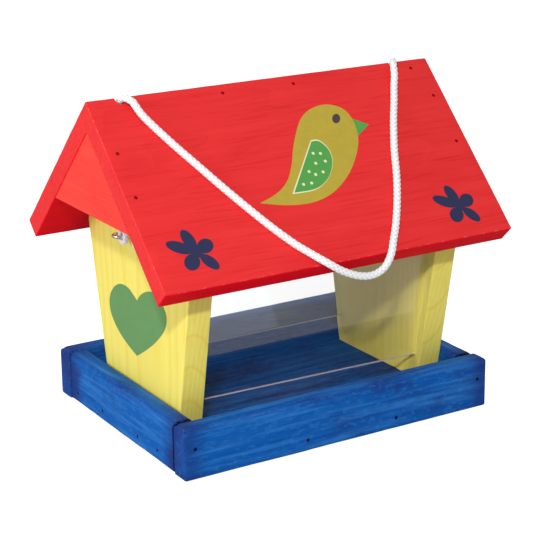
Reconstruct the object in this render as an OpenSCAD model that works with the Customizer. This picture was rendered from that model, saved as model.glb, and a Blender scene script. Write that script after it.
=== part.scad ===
// Wooden hanging bird feeder house: a shallow tray, two side boards that hold
// two clear panes, and a lift-off gable roof threaded on a rope.
// Millimetres, +Z up. The origin is on the surface the tray stands on, under
// the middle of the roof. +X runs along the ridge, +Y from front to back.

/* [Tray] */
// Length of the tray along the ridge
tray_l = 250; // [230:1:280]
// Depth of the tray, front to back
tray_w = 194; // [180:1:220]
// Height of the four rails
rail_h = 37; // [30:1:40]
// Thickness of the rails
rail_t = 16; // [14:1:18]
// Thickness of the floor panel
floor_t = 15; // [12:1:18]
// How far the tray sits to the right of the roof's middle
tray_x = 5; // [0:1:6]
// How far the tray sits behind the roof's middle
tray_y = 6; // [0:1:8]

/* [Sides] */
// Thickness of the side boards
side_t = 18; // [15:1:20]
// Width of a side board at its foot
foot_w = 105; // [95:1:110]
// Lean of a side board's front and back edges
lean = 11; // [8:1:13]
// Height at which the boards' peaks are cut off
side_top = 202; // [192:1:207]

/* [Panes] */
// Thickness of the clear panes
pane_t = 3; // [2:0.5:4]
// Distance from a board's leaning edge to the outer face of its pane
pane_in = 6; // [5:0.5:9]
// Depth of the grooves in the side boards
groove_d = 5; // [4:0.5:7]
// Height of the panes' lower edges, which sets the seed gap
pane_z = 35; // [30:1:40]

/* [Roof] */
// Length of the roof panels along the ridge
roof_l = 276; // [260:1:300]
// Distance from the ridge to an eave, measured level
roof_half = 106; // [100:1:115]
// Height of the ridge
ridge_z = 243; // [237:1:247]
// Thickness of the roof boards
roof_t = 15; // [12:1:16]
// Height of the gable boards' lower edges
gable_z = 164; // [162:1:168]

/* [Rope] */
// Diameter of the rope
rope_d = 5; // [4:0.5:5]
// Distance of the left rope hole from the middle of the ridge
left_hole = 113; // [111:1:114]
// Distance of the right rope hole from the middle of the ridge
right_hole = 108.5; // [107:0.5:111]
// Diameter of the rope holes
hole_d = 8; // [7:0.5:9]

/* [Fasteners] */
// Diameter of the brad nails
nail_d = 1.6; // [1.2:0.1:2]
// Diameter of the nail heads
nail_head_d = 2.6; // [2.2:0.1:3]
// Length of the brad nails
nail_l = 35; // [30:1:40]
// Diameter of the screws under the side boards
screw_d = 4; // [3.5:0.5:4.5]

/* [Hidden] */

$fn = 48;
eps = 0.03;      // clearance round a fastener in its hole
diag = sqrt(2);  // the roof slopes at 45 degrees

// Tray
rail_r = 4.5;    // rounding of the rails' upper edges
soft_r = 1.5;    // rounding of the other long edges
x0 = tray_x - tray_l / 2;
x1 = tray_x + tray_l / 2;
y0 = tray_y - tray_w / 2;
y1 = tray_y + tray_w / 2;

// Side boards
left_out = x0 + rail_t;             // outer face of the left board
right_out = x1 - rail_t;            // outer face of the right board
seat_gap = 0.2;                     // between the boards' slopes and the roof
under_z = ridge_z - roof_t * diag;  // underside of the roof at the ridge
seat_z = under_z - seat_gap * diag;
shoulder_z = (seat_z - foot_w / 2 + tan(lean) * floor_t) / (1 + tan(lean));
function edge_y(z) = foot_w / 2 + tan(lean) * (z - floor_t);

// Panes
pane_fit = 0.15;                                  // on each face in the groove
pane_l = right_out - left_out - 2 * side_t + 2 * (groove_d - 0.5);
pane_top = shoulder_z - 3;
function pane_y(z) = edge_y(z) - pane_in / cos(lean);

// Nails: how deep the heads are set, and where the rows are. The gable nails are
// placed along the ridge and down the slope.
head_h = 1.2;
set_d = 0.6;
floor_nail_z = 8;
corner_nail_z = 22;
floor_nails_x = [-24, 50];
floor_nails_y = [-50, -21, 34, 75];
ridge_nails_x = [-106, -37, 20, 121];
front_nails = [[-130.5, 42.8], [-130.5, 76.9], [128.6, 33], [128.6, 73]];
back_nails = [[-130.5, 40], [-130.5, 75], [130.5, 40], [130.5, 75]];

// Screw eyes
eye_r = 4.6;       // middle of the ring's wire
eye_wire = 2.8;    // wire diameter
eye_out = 6.4;     // ring centre to the board's face
eye_y = 12;
eye_z = 143.5;
shank_l = 13;

// Knots: a round knot over a loop of rope through the screw eye, with a tail
knot_r = 6;
knot_z = 155;
knot_d = rope_d - 0.8;  // the rope where it is drawn tight
loop_r = 3.8;           // middle of the loop
loop_y = eye_y - eye_r;
tail_y = 0.6;
tail_z = 139;

// Rope routes. The legs run from each knot to the underside of the ridge.
leg_top = under_z - 1;
left_leg = [[left_out - eye_out, loop_y, knot_z + knot_r - 1], [-111, 6.5, 176],
    [-112, 3.6, 194], [-left_hole, 0.8, 207], [-left_hole, 0, 214],
    [-left_hole, 0, 217.5], [-left_hole, 0, leg_top]];
right_leg = [[right_out + eye_out - 0.4, loop_y, knot_z + knot_r - 1], [119, 6.6, 172],
    [118.4, 4.6, 189], [117, 2.2, 203.5], [112.6, 0.6, 211.5], [right_hole, 0, 216.6],
    [right_hole, 0, 218.7], [right_hole, 0, leg_top]];

// The loop comes up out of one hole, over the ridge, down the front panel and
// just past the eave, and back up to the other hole. Points on the panel give
// the place along the ridge, the distance down the slope and the height over it.
function on_roof(x, s, h) = [x, -(s + h) / diag, ridge_z - (s - h) / diag];
loop_route = concat(
    [[-left_hole, 0, leg_top + 0.3], [-left_hole, 0, leg_top + 2.4],
     [-left_hole, 0, leg_top + 4.5], [-left_hole, 1, 230], [-left_hole, 1.5, 235.2],
     [0.2 - left_hole, 0.5, 238.8], [0.7 - left_hole, -2.1, 241.4],
     [1.6 - left_hole, -5.7, 242.4], [3.1 - left_hole, -9.1, 241.6],
     [4.8 - left_hole, -11.2, 239.8]],
    [for (p = [[-104.8, 17.8, 4], [-99.8, 26.8, 2.9], [-91, 43, 2.6], [-80, 62, 2.6],
               [-69, 81, 2.6], [-58, 99, 2.6], [-47, 116, 2.6], [-36, 131, 2.7],
               [-28, 140, 3]]) on_roof(p[0], p[1], p[2])],
    [[-19, -109, 139], [-9, -111.5, 132.5], [3, -112.5, 127.5],
     [14, -112.5, 126], [24, -111.5, 129], [31, -109.5, 136.5]],
    [for (p = [[38, 142, 3], [46, 130, 2.7], [55, 114, 2.6], [64, 95, 2.6],
               [73, 72.5, 2.6], [83, 51, 2.6], [91.8, 34, 2.6], [95.7, 25.5, 3],
               [98.4, 19.5, 3.9], [100.4, 15, 4.8]]) on_roof(p[0], p[1], p[2])],
    [[right_hole - 6.1, -10, 241.2], [right_hole - 4.8, -7.9, 243],
     [right_hole - 3.1, -5.2, 243.7], [right_hole - 1.2, -2, 242.7],
     [right_hole + 0.2, 0.3, 240], [right_hole + 0.7, 1.2, 236.2],
     [right_hole + 0.6, 0.9, 230], [right_hole, 0, leg_top + 4.5],
     [right_hole, 0, leg_top + 2.4], [right_hole, 0, leg_top + 0.3]]);

// --- swept rope -----------------------------------------------------------

function unit(v) = v / norm(v);
function at(pts, i) = pts[max(0, min(len(pts) - 1, i))];
function bend(a, b, c, d, t) =
    0.5 * (2 * b + (c - a) * t + (2 * a - 5 * b + 4 * c - d) * t * t
    + (3 * b - a - 3 * c + d) * t * t * t);
function smooth(pts, n) = concat(
    [for (i = [0:len(pts) - 2], k = [0:n - 1])
        bend(at(pts, i - 1), pts[i], pts[i + 1], at(pts, i + 2), k / n)],
    [pts[len(pts) - 1]]);
function tangents(p) = [for (i = [0:len(p) - 1]) unit(at(p, i + 1) - at(p, i - 1))];
function carry(t, v, i = 0) = i == len(t) ? [] :
    let (u = unit(v - (v * t[i]) * t[i])) concat([u], carry(t, u, i + 1));

module sweep(route, d, steps = 2, sides = 8) {
    p = smooth(route, steps);
    t = tangents(p);
    u = carry(t, [1, 0, 0]);
    n = len(p);
    points = [for (i = [0:n - 1], k = [0:sides - 1])
        p[i] + d / 2 * (cos(360 * k / sides) * u[i]
        + sin(360 * k / sides) * cross(t[i], u[i]))];
    walls = [for (i = [0:n - 2], k = [0:sides - 1]) let (j = (k + 1) % sides)
        [i * sides + k, i * sides + j, (i + 1) * sides + j, (i + 1) * sides + k]];
    foot = [for (k = [0:sides - 1]) sides - 1 - k];
    head = [for (k = [0:sides - 1]) (n - 1) * sides + k];
    polyhedron(points, [for (f = concat([foot], walls, [head]))
        [for (k = [len(f) - 1:-1:0]) f[k]]], convexity = 10);
}

// --- boards ---------------------------------------------------------------

// What a rounded corner takes away, with the corner at the origin
module corner(r, flip_x = 0, flip_y = 0) {
    mirror([flip_x, 0])
        mirror([0, flip_y])
            translate([-1, -1])
                difference() {
                    square(r + 1);
                    translate([r + 1, r + 1])
                        circle(r);
                }
}

// Section of a board, with a radius for each corner from the lower left, round
// to the upper left
module section(w, h, r) {
    difference() {
        square([w, h]);
        corner(r[0]);
        translate([w, 0])
            corner(r[1], 1, 0);
        translate([w, h])
            corner(r[2], 1, 1);
        translate([0, h])
            corner(r[3], 0, 1);
    }
}

// A rail along X, with all its edges rounded
module rail(l) {
    radii = [soft_r, soft_r, rail_r, rail_r];
    intersection() {
        rotate([90, 0, 90])
            linear_extrude(l)
                section(rail_t, rail_h, radii);
        translate([0, rail_t + 1, 0])
            rotate([90, 0, 0])
                linear_extrude(rail_t + 2)
                    section(l, rail_h, radii);
    }
}

// A rail that butts between two others, along X, with square ends
module short_rail(l) {
    rotate([90, 0, 90])
        linear_extrude(l)
            section(rail_t, rail_h, [soft_r, soft_r, rail_r, rail_r]);
}

// A nail that goes down from the origin, with its head set in by set_d.
// Grown by a clearance it is the hole for the nail, open at the top.
module nail(gap = 0) {
    translate([0, 0, -nail_l - gap])
        cylinder(h = nail_l - set_d + gap, d = nail_d + 2 * gap, $fn = 24);
    translate([0, 0, -set_d - head_h - gap])
        cylinder(h = head_h + gap + (gap > 0 ? set_d + 1 : 0), d = nail_head_d + 2 * gap,
            $fn = 24);
}

// A countersunk screw that goes up from the origin
module screw(gap = 0) {
    head = 2 * screw_d;
    translate([0, 0, 0.4 - (gap > 0 ? 1 : 0)])
        cylinder(h = 0.4 + (gap > 0 ? 1 : 0), d = head + 2 * gap);
    translate([0, 0, 0.8])
        cylinder(h = screw_d / 2, d1 = head + 2 * gap, d2 = screw_d + 2 * gap);
    cylinder(h = 42 + gap, d = screw_d + 2 * gap);
}

module corner_nails(gap = 0) {
    for (x = [x0 + rail_t / 2, x1 - rail_t / 2]) {
        translate([x, y0, corner_nail_z])
            rotate([90, 0, 0])
                nail(gap);
        translate([x, y1, corner_nail_z])
            rotate([-90, 0, 0])
                nail(gap);
    }
}

module tray_nails(gap = 0) {
    for (x = floor_nails_x) {
        translate([x, y0, floor_nail_z])
            rotate([90, 0, 0])
                nail(gap);
        translate([x, y1, floor_nail_z])
            rotate([-90, 0, 0])
                nail(gap);
    }
    for (y = floor_nails_y) {
        translate([x0, y, floor_nail_z])
            rotate([0, -90, 0])
                nail(gap);
        translate([x1, y, floor_nail_z])
            rotate([0, 90, 0])
                nail(gap);
    }
}

module foot_screws(gap = 0) {
    for (x = [left_out + side_t / 2, right_out - side_t / 2], y = [-30, 30])
        translate([x, y, 0])
            screw(gap);
}

module ridge_row(gap = 0) {
    for (x = ridge_nails_x)
        translate(on_roof(x, roof_t / 2, 0))
            rotate([45, 0, 0])
                nail(gap);
}

// Nails through one panel into both gables; side is 1 at the front, -1 behind
module gable_rows(side, gap = 0) {
    for (p = side > 0 ? front_nails : back_nails)
        translate([p[0], -side * p[1] / diag, ridge_z - p[1] / diag])
            rotate([side * 45, 0, 0])
                nail(gap);
}

module rope_holes() {
    for (x = [-left_hole, right_hole])
        translate([x, 0, under_z - 20])
            cylinder(h = 60, d = hole_d);
}

// --- tray -----------------------------------------------------------------

module tray_floor() {
    color("royalblue")
        difference() {
            translate([x0 + rail_t, y0 + rail_t, 0])
                cube([tray_l - 2 * rail_t, tray_w - 2 * rail_t, floor_t]);
            tray_nails(eps);
            foot_screws(eps);
        }
}

module front_rail() {
    color("royalblue")
        difference() {
            translate([x0, y0, 0])
                rail(tray_l);
            corner_nails(eps);
            tray_nails(eps);
        }
}

module back_rail() {
    color("royalblue")
        difference() {
            translate([x0, y1 - rail_t, 0])
                rail(tray_l);
            corner_nails(eps);
            tray_nails(eps);
        }
}

module side_rail(x) {
    color("royalblue")
        difference() {
            translate([x + rail_t, y0 + rail_t, 0])
                rotate([0, 0, 90])
                    short_rail(tray_w - 2 * rail_t);
            corner_nails(eps);
            tray_nails(eps);
        }
}

module left_rail() {
    side_rail(x0);
}

module right_rail() {
    side_rail(x1 - rail_t);
}

module rail_corner_nails() {
    color("silver")
        corner_nails();
}

module floor_nails() {
    color("silver")
        tray_nails();
}

// --- sides and panes ------------------------------------------------------

// A pane in its place; grown by a fit it is the groove, open at the top
module pane(side, l, fit = 0) {
    h = (pane_top - pane_z) / cos(lean) + (fit > 0 ? 60 : 0);
    translate([left_out + side_t - (l - (right_out - left_out - 2 * side_t)) / 2,
            side * pane_y(pane_z), pane_z])
        rotate([-side * lean, 0, 0])
            translate([0, (side > 0 ? -pane_t : 0) - fit, 0])
                cube([l, pane_t + 2 * fit, h]);
}

module side_board(x) {
    w = edge_y(shoulder_z);
    color("gold")
        difference() {
            translate([x, 0, 0])
                rotate([90, 0, 90])
                    linear_extrude(side_t)
                        polygon([[-foot_w / 2, floor_t], [foot_w / 2, floor_t],
                            [w, shoulder_z], [seat_z - side_top, side_top],
                            [side_top - seat_z, side_top], [-w, shoulder_z]]);
            for (side = [-1, 1])
                pane(side, right_out - left_out - 2 * side_t + 2 * groove_d, pane_fit);
            foot_screws(eps);
            screw_eye(left_out, -1, eps);
            screw_eye(right_out, 1, eps);
        }
}

module left_side() {
    side_board(left_out);
}

module right_side() {
    side_board(right_out - side_t);
}

module side_screws() {
    color("silver")
        foot_screws();
}

module front_pane() {
    color("azure", 0.4)
        pane(-1, pane_l);
}

module back_pane() {
    color("azure", 0.4)
        pane(1, pane_l);
}

// --- screw eyes and knots -------------------------------------------------

// A screw eye in the outer face of a board, with its ring lying level.
// out is -1 on the left and 1 on the right. With a gap it is only the hole.
module screw_eye(face, out, gap = 0) {
    ring_x = face + out * eye_out;
    reach = eye_out - eye_r;
    translate([ring_x - out * eye_r, eye_y, eye_z])
        rotate([0, -out * 90, 0])
            cylinder(h = reach + shank_l + gap, d = eye_wire + 2 * gap);
    if (gap == 0)
        translate([ring_x, eye_y, eye_z])
            rotate_extrude()
                translate([eye_r, 0])
                    circle(d = eye_wire);
}

module left_screw_eye() {
    color("lightgrey")
        screw_eye(left_out, -1);
}

module right_screw_eye() {
    color("lightgrey")
        screw_eye(right_out, 1);
}

// The knot, the loop that hangs from it through the ring, and the loose tail
module knot(x) {
    color("white")
        translate([x, 0, 0]) {
            translate([0, loop_y, knot_z])
                sphere(r = knot_r);
            translate([0, loop_y, eye_z])
                rotate([0, 90, 0])
                    rotate([0, 0, -90])
                        rotate_extrude(angle = 180)
                            translate([loop_r, 0])
                                circle(d = knot_d);
            for (y = [loop_y - loop_r, loop_y + loop_r])
                translate([0, y, eye_z])
                    cylinder(h = knot_z - eye_z, d = knot_d);
            translate([0, tail_y, tail_z])
                rotate([-10, 0, 0])
                    cylinder(h = knot_z - tail_z, d = knot_d);
        }
}

module left_knot() {
    knot(left_out - eye_out);
}

module right_knot() {
    knot(right_out + eye_out);
}

module rope_leg_left() {
    color("white")
        sweep(left_leg, rope_d, 2);
}

module rope_leg_right() {
    color("white")
        sweep(right_leg, rope_d, 2);
}

module rope_loop() {
    color("white")
        sweep(loop_route, rope_d, 2);
}

// --- roof -----------------------------------------------------------------

// A roof panel of slope length l, whose upper end is at distance s from the
// ridge; side is 1 at the front and -1 behind
module roof_panel(side, s, l, r) {
    mirror([0, side > 0 ? 0 : 1, 0])
        translate([-roof_l / 2, 0, ridge_z])
            rotate([45, 0, 0])
                translate([0, -s, 0])
                    rotate([90, 0, 90])
                        translate([-l, -roof_t])
                            linear_extrude(roof_l)
                                section(l, roof_t, r);
}

module roof_front_panel() {
    color("crimson")
        difference() {
            roof_panel(1, 0, roof_half * diag, [1, 0.5, soft_r, soft_r]);
            ridge_row(eps);
            gable_rows(1, eps);
            rope_holes();
        }
}

module roof_back_panel() {
    color("crimson")
        difference() {
            roof_panel(-1, roof_t, roof_half * diag - roof_t, [1, 0, 0, soft_r]);
            ridge_row(eps);
            gable_rows(-1, eps);
            rope_holes();
        }
}

module gable(x) {
    half = under_z - gable_z;
    color("crimson")
        difference() {
            translate([x, 0, 0])
                rotate([90, 0, 90])
                    linear_extrude(roof_t - 0.5)
                        polygon([[-half, gable_z], [half, gable_z], [0, under_z]]);
            gable_rows(1, eps);
            gable_rows(-1, eps);
        }
}

module left_gable() {
    gable(-roof_l / 2 + 0.5);
}

module right_gable() {
    gable(roof_l / 2 - roof_t);
}

module ridge_nails() {
    color("silver")
        ridge_row();
}

module gable_nails_front() {
    color("silver")
        gable_rows(1);
}

module gable_nails_back() {
    color("silver")
        gable_rows(-1);
}

tray_floor();
front_rail();
back_rail();
left_rail();
right_rail();
rail_corner_nails();
floor_nails();
left_side();
right_side();
side_screws();
front_pane();
back_pane();
left_screw_eye();
right_screw_eye();
left_knot();
right_knot();
rope_leg_left();
rope_leg_right();
roof_front_panel();
roof_back_panel();
left_gable();
right_gable();
ridge_nails();
gable_nails_front();
gable_nails_back();
rope_loop();
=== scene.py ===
"""Looks of the hanging bird feeder house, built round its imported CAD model.

Lengths in this file are millimetres in the row frame, and meshes are made in
metres from them.
"""

import math

import bmesh
import bpy
import numpy as np
from mathutils import Matrix, Vector, noise


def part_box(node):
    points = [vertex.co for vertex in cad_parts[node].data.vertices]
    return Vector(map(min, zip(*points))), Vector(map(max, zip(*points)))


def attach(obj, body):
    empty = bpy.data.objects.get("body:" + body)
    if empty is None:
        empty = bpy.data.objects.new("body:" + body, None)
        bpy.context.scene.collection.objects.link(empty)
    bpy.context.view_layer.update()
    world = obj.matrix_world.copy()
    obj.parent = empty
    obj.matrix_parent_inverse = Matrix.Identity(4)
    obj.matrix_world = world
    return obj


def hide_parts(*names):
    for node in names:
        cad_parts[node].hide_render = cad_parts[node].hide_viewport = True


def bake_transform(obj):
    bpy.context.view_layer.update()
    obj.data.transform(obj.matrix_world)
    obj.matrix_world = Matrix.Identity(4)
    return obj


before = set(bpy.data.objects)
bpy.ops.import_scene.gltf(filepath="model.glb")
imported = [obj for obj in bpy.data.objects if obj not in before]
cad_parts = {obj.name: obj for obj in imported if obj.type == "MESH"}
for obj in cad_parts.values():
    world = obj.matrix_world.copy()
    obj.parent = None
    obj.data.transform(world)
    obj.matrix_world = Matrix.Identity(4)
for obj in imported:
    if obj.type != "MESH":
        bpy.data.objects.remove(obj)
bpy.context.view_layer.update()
scene = bpy.context.scene
scene.view_settings.view_transform = "Standard"

MM = 0.001
Q = math.sqrt(0.5)  # the roof slopes at 45 degrees


def cad(node):
    """Lowest and highest corner of a CAD node, in millimetres."""
    return tuple(np.array(c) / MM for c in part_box(node))


# ---------------------------------------------------------------- the frame
X0, X1 = cad("front_rail")[0][0], cad("front_rail")[1][0]
Y0, Y1 = cad("front_rail")[0][1], cad("back_rail")[1][1]
RAIL_T = X1 - cad("tray_floor")[1][0]
FLOOR_T = cad("tray_floor")[1][2]
LEFT_OUT, RIGHT_OUT = cad("left_side")[0][0], cad("right_side")[1][0]
SIDE_T = cad("left_side")[1][0] - LEFT_OUT
SIDE_TOP = cad("left_side")[1][2]
ROOF_X = cad("roof_front_panel")[1][0]
RIDGE_Z = cad("roof_front_panel")[1][2]
ROOF_HALF = -cad("roof_front_panel")[0][1]
ROOF_T, ROOF_PLAY = 15.0, 0.3
UNDER_Z = RIDGE_Z - ROOF_T / Q
GABLE_Z = cad("left_gable")[0][2]
# the side boards' edges lean out from FOOT, their half width at the floor, up to
# the shoulders, where the roof cuts them off
LEAN = math.radians(11)
FOOT = 52.5
SHOULDER_Z = (UNDER_Z - ROOF_PLAY - FOOT + math.tan(LEAN) * FLOOR_T) / (1 + math.tan(LEAN))
LEFT_HOLE, RIGHT_HOLE, HOLE_R = -113.0, 108.5, 4.0
# the screw eyes: the ring's middle, its radius, and how far it stands out
EYE_Y, EYE_Z, EYE_R, EYE_OUT = 12.0, 143.5, 4.6, 6.4
KNOT_Z, LOOP_R = 155.0, 3.8
# the rope is 5 mm thick on the whole, 5.3 mm over its strands and thinner when knotted
ROPE_D, BRAID_D, KNOT_D = 5.0, 5.3, 4.2
STRANDS = 4
SCREW_Y = 30


def link(obj):
    scene.collection.objects.link(obj)
    return obj


def piece(obj, body, slot, *nodes):
    """Puts a finished piece on its body and hides its CAD nodes; slot is not used."""
    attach(obj, body)
    if nodes:
        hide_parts(*nodes)
    return obj


# --------------------------------------------------------------- the camera
cam = link(bpy.data.objects.new("camera", bpy.data.cameras.new("camera")))
# its lens, place and turns were solved from the object's corners in the photo
cam.data.sensor_width = 36
cam.data.lens = 113.3
cam.data.clip_end = 30
cam.matrix_world = (
    Matrix.Translation(Vector((-600.3, -997.0, 469.4)) * MM)
    @ Matrix.Rotation(math.radians(-31.11), 4, "Z")
    @ Matrix.Rotation(math.radians(72.53), 4, "X")
    @ Matrix.Rotation(math.radians(-0.73), 4, "Z")
)
scene.camera = cam


# ------------------------------------------------------------- shader nodes
class Shader:
    """A material's node tree, with short ways to add to it."""

    def __init__(self, name):
        self.material = bpy.data.materials.new(name)
        self.material.use_nodes = True
        self.tree = self.material.node_tree
        self.tree.nodes.clear()
        self.place = self.add("TexCoord").outputs["Object"]

    def add(self, kind, values=None, **props):
        n = self.tree.nodes.new("ShaderNode" + kind)
        for key, value in props.items():
            setattr(n, key, value)
        for key, value in (values or {}).items():
            if isinstance(value, bpy.types.NodeSocket):
                self.tree.links.new(value, n.inputs[key])
            else:
                n.inputs[key].default_value = value
        return n

    def calc(self, operation, a, b=0.0):
        return self.add("Math", {0: a, 1: b}, operation=operation).outputs[0]

    def noise(self, vector, scale, detail=3.0, rough=0.55):
        return self.add("TexNoise", {
            "Vector": vector, "Scale": scale, "Detail": detail, "Roughness": rough,
        }).outputs["Fac"]

    def stretch(self, vector, x, y, z):
        return self.add("Mapping", {"Vector": vector, "Scale": (x, y, z)}).outputs[0]

    def span(self, value, low, high, to_low=0.0, to_high=1.0):
        """value from low to high becomes to_low to to_high, smoothly."""
        return self.add("MapRange", {0: value, 1: low, 2: high, 3: to_low, 4: to_high},
                        interpolation_type="SMOOTHSTEP").outputs[0]

    def mix(self, factor, a, b):
        def colour(c):
            return c if isinstance(c, bpy.types.NodeSocket) else (*c, 1)

        return self.add("Mix", {0: factor, 6: colour(a), 7: colour(b)},
                        data_type="RGBA").outputs[2]

    def bump(self, height, distance, strength):
        return self.add("Bump", {
            "Height": height, "Distance": distance * MM, "Strength": strength}).outputs[0]

    def done(self, values):
        body = self.add("BsdfPrincipled", values)
        self.output(body)
        return self.material

    def output(self, body):
        out = self.add("OutputMaterial")
        self.tree.links.new(body.outputs[0], out.inputs[0])


def wood(name, axes, pith, tones, rings=0.5, ring_gap=2.6, streaks=0.5, blotches=0.4,
         fibres=0.35, wear=0.5, rough=(0.42, 0.6), relief=0.10, shift=(0, 0, 0),
         shine=0.14, fine=1.0, ends=None, joint=0.0, arcs=(), mottle=0.0):
    """Stained softwood. axes are the board's directions along the fibres, across
    them and through its face; pith is where the tree's middle was, in those
    directions. tones are main, latewood, light, pooled and worn; rings, streaks,
    blotches, fibres, wear and mottle are how much they show. Stain pools at the ends,
    which are two places along the fibres, and a painted shadow line as dark as
    joint lies at them. arcs are height, middle and bend of brown growth lines
    across a narrow front face."""
    main, late, light, pooled, worn = tones
    s = Shader(name)
    place = s.place
    board = s.add("Mapping", {
        "Vector": place, "Rotation": Matrix(axes).to_euler(),
        "Location": tuple(c * MM for c in shift)}).outputs[0]
    drift = s.add("TexNoise", {
        "Vector": s.stretch(board, 4, 14, 14), "Scale": 1.0, "Detail": 2.0})
    drift = s.add("VectorMath", {0: drift.outputs["Color"], 1: (0.5, 0.5, 0.5)},
                  operation="SUBTRACT").outputs[0]
    drift = s.add("VectorMath", {0: drift, 1: (0, 0.016, 0.016)},
                  operation="MULTIPLY").outputs[0]
    bent = s.add("VectorMath", {0: board, 1: drift}, operation="ADD").outputs[0]
    shell = s.add("Mapping", {
        "Vector": bent, "Scale": (0.07, 1, 1),
        "Location": tuple(-c * MM * k for c, k in zip(pith, (0.07, 1, 1)))}).outputs[0]
    ring = s.add("TexWave", {
        "Vector": shell, "Scale": 2 * math.pi / (20 * ring_gap * MM), "Distortion": 0.6,
        "Detail": 2.0, "Detail Scale": 1.5},
        wave_type="RINGS", rings_direction="SPHERICAL", wave_profile="SAW").outputs["Fac"]
    ring = s.calc("POWER", ring, 3.0)
    fibre = s.noise(s.stretch(bent, 18, 520, 520), 1.0, 4.0, 0.62)
    streak = s.noise(s.stretch(bent, 7 * fine**0.5, 95 * fine, 95 * fine), 1.0, 4.0, 0.6)
    blotch = s.noise(s.stretch(board, 12, 26, 26), 1.0, 4.0, 0.6)
    speck = s.noise(place, 520.0, 3.0, 0.6)

    c = s.mix(s.calc("MULTIPLY", ring, rings), main, late)
    c = s.mix(s.calc("MULTIPLY", s.span(streak, 0.46, 0.72), streaks), c, light)
    c = s.mix(s.calc("MULTIPLY", s.span(fibre, 0.5, 0.72), fibres), c, late)
    c = s.mix(s.calc("MULTIPLY", s.span(blotch, 0.48, 0.7), blotches), c, pooled)
    if mottle:
        brush = s.noise(s.stretch(bent, 170, 420, 420), 1.0, 3.0, 0.65)
        c = s.mix(s.calc("MULTIPLY", s.span(brush, 0.5, 0.68), mottle), c, light)
    edge = s.add("Attribute", attribute_name="edge").outputs["Fac"]
    soft = s.calc("MULTIPLY", s.span(edge, 0.15, 0.75), 0.45 * blotches)
    c = s.mix(soft, c, pooled)
    if ends:
        along = s.add("VectorMath", {0: place, 1: axes[0]},
                      operation="DOT_PRODUCT").outputs["Value"]
        off = s.calc("ABSOLUTE", s.calc("SUBTRACT", along, (ends[0] + ends[1]) / 2 * MM))
        half = (ends[1] - ends[0]) / 2
        near = s.span(off, (half - 22) * MM, (half - 1) * MM)
        patchy = s.calc("MULTIPLY", near, s.span(blotch, 0.3, 0.6, 0.25, 0.9))
        c = s.mix(patchy, c, pooled)
        # painted shade: a dark line near each end, where the board meets its neighbour
        line = s.span(off, (half - 2.4) * MM, (half - 1.2) * MM, 0.0, joint)
        c = s.mix(line, c, tuple(k * 0.1 for k in late))
    rubbed = s.calc("MULTIPLY", s.span(edge, 0.35, 0.9), s.span(speck, 0.54, 0.64))
    c = s.mix(s.calc("MULTIPLY", rubbed, wear), c, worn)

    if arcs:
        facing = s.add("TexCoord").outputs["Normal"]
        facing = s.span(s.add("SeparateXYZ", {0: facing}).outputs[1], -0.9, -0.7, 0.42, 0.0)
        x, z = (s.add("VectorMath", {0: place, 1: v}, operation="DOT_PRODUCT").outputs["Value"]
                for v in ((1, 0, 0), (0, 0, 1)))
        uneven = 9  # mm, half of which is the noise's mean
        wander = s.calc("MULTIPLY", s.noise(place, 75.0), uneven * MM)
        for level, middle, bend in arcs:
            off = s.calc("ABSOLUTE", s.calc("SUBTRACT", x, middle * MM))
            sag = s.calc("MULTIPLY", s.calc("POWER", off, 2.0), 60.0 * bend)
            gap = s.calc("SUBTRACT", s.calc("ADD", s.calc("ADD", z, sag), wander),
                         (level + uneven / 2) * MM)
            line = s.span(s.calc("ABSOLUTE", gap), 0.0003, 0.0028, 1.0, 0.0)
            c = s.mix(s.calc("MULTIPLY", line, facing), c, late)

    height = s.calc("ADD", s.calc("MULTIPLY", fibre, 0.7), s.calc("MULTIPLY", ring, 0.25))
    height = s.calc("ADD", height, s.calc("MULTIPLY", streak, 0.5))
    return s.done({
        "Base Color": c,
        "Roughness": s.span(fibre, 0.3, 0.7, *rough),
        "Specular IOR Level": shine,
        "Normal": s.bump(height, relief, 0.8),
    })


RED = ((0.74, 0.028, 0.029), (0.54, 0.006, 0.012), (0.86, 0.045, 0.040),
       (0.55, 0.003, 0.011), (0.86, 0.22, 0.17))
# painted shade: a deeper, more saturated red for the faces that look down
SHADED_UNDERSIDE_RED = ((0.80, 0.0012, 0.010), (0.60, 0.0005, 0.006), (0.90, 0.010, 0.020),
            (0.60, 0.0, 0.008), (0.86, 0.10, 0.08))
ORANGE_RED = ((0.86, 0.050, 0.035), (0.72, 0.025, 0.020), (0.92, 0.080, 0.055),
              (0.70, 0.015, 0.018), (0.90, 0.24, 0.18))
YELLOW = ((0.81, 0.72, 0.155), (0.74, 0.54, 0.075), (0.86, 0.78, 0.17),
          (0.78, 0.62, 0.085), (0.86, 0.79, 0.36))
BLUE = ((0.002, 0.100, 0.41), (0.003, 0.050, 0.24), (0.030, 0.19, 0.55),
        (0.010, 0.030, 0.18), (0.08, 0.15, 0.30))
# painted shade: the tray floor's blue is the rails' blue darkened for the shade it lies in
# under the roof
SHADED_FLOOR_BLUE = tuple(tuple(c * 0.66 for c in tone) for tone in BLUE)


def hole_stain_and_shade(name, colour):
    """The inside of a nail hole or groove, darker than the face: stain pooled in the nail
    holes, and the grooves' dark brown is painted shade.
    """
    s = Shader(name)
    n = s.noise(s.place, 900.0, 4.0)
    dark = tuple(c * 0.5 for c in colour)
    return s.done({
        "Base Color": s.mix(n, dark, colour),
        "Roughness": 0.75,
        "Specular IOR Level": 0.1,
        "Normal": s.bump(n, 0.1, 0.6),
    })


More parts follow.
